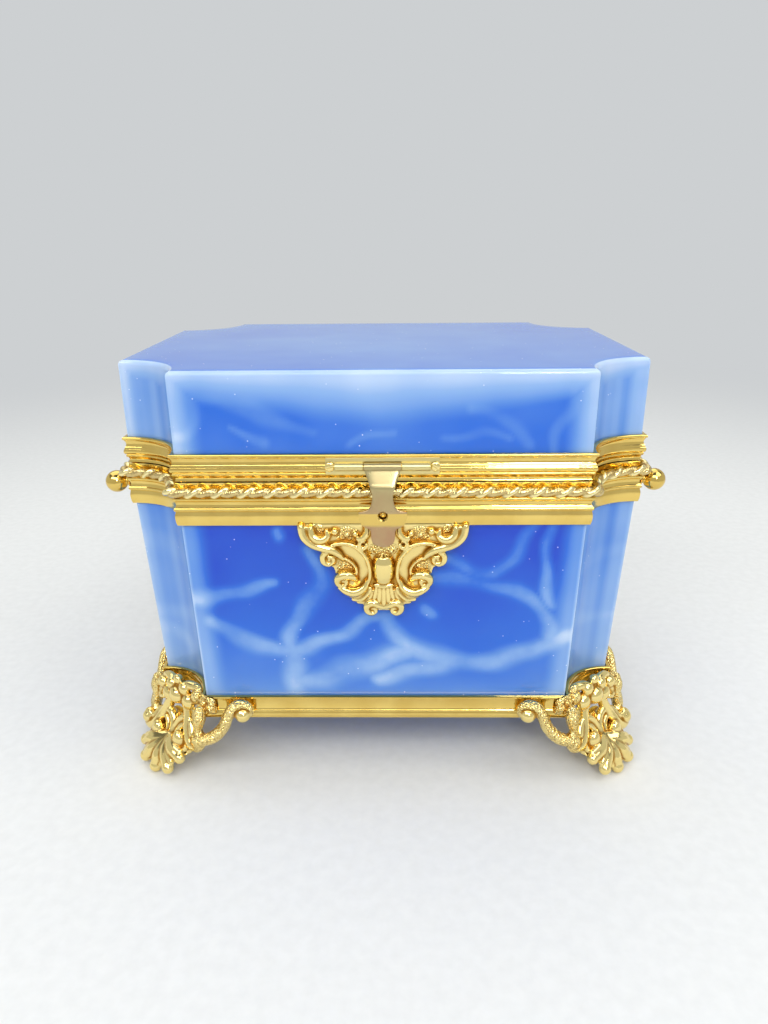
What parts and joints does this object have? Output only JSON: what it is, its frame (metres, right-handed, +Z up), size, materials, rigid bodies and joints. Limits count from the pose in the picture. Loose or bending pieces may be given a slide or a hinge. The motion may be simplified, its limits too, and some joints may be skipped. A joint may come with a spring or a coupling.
{
  "type": "hinged glass casket",
  "caption": "Coved rectangular box of opaline glass in gilt brass mounts, with a hinged lid, a swinging hasp over a stud and openwork corner feet.",
  "frame": {"origin": "centre of the footprint, on the surface that the feet stand on", "axes": "+Z up, +X to the right of someone facing the hasp, the hasp and escutcheon on the -Y side, the hinge on the +Y side"},
  "size_m": [0.157, 0.1084, 0.1195],
  "materials": {
    "opaline_glass": "polished opalescent blue glass, cloudy, paler at its edges",
    "gilt_brass": "polished and gilt",
    "cast_gilt_brass": "cast, chased and gilt, softly polished",
    "rose_gilt_brass": "worn gilding, slightly redder than the mouldings",
    "plaster": "dry plaster, off-white"
  },
  "bodies": {
    "body": {"body_glass": "opaline_glass", "body_cement": "plaster", "body_frame": "gilt_brass", "rope_moulding": "gilt_brass", "ball_finial_left": "gilt_brass", "ball_finial_right": "gilt_brass", "catch_stud": "gilt_brass", "escutcheon": "cast_gilt_brass", "base_band": "gilt_brass", "base_cement": "plaster", "foot_front_left": "cast_gilt_brass", "foot_front_right": "cast_gilt_brass", "foot_back_left": "cast_gilt_brass", "foot_back_right": "cast_gilt_brass", "body_hinge_leaf": "gilt_brass", "hinge_pin": "gilt_brass"},
    "lid": {"lid_glass": "opaline_glass", "lid_cement": "plaster", "lid_frame": "gilt_brass", "lid_hinge_leaf": "gilt_brass", "hasp_hinge_plate": "gilt_brass", "hasp_pin": "gilt_brass", "hasp_screw_left": "gilt_brass", "hasp_screw_right": "gilt_brass"},
    "hasp": {"hasp": "rose_gilt_brass"}
  },
  "joints": [
    {"name": "lid_hinge", "type": "hinge", "parent": "body", "child": "lid", "pos_m": [0, 0.05255, 0.09145], "axis": [-1, 0, 0], "range_deg": [0, 100]},
    {"name": "hasp_hinge", "type": "hinge", "parent": "lid", "child": "hasp", "pos_m": [0, -0.0515, 0.0959], "axis": [-1, 0, 0], "range_deg": [0, 150]}
  ]
}
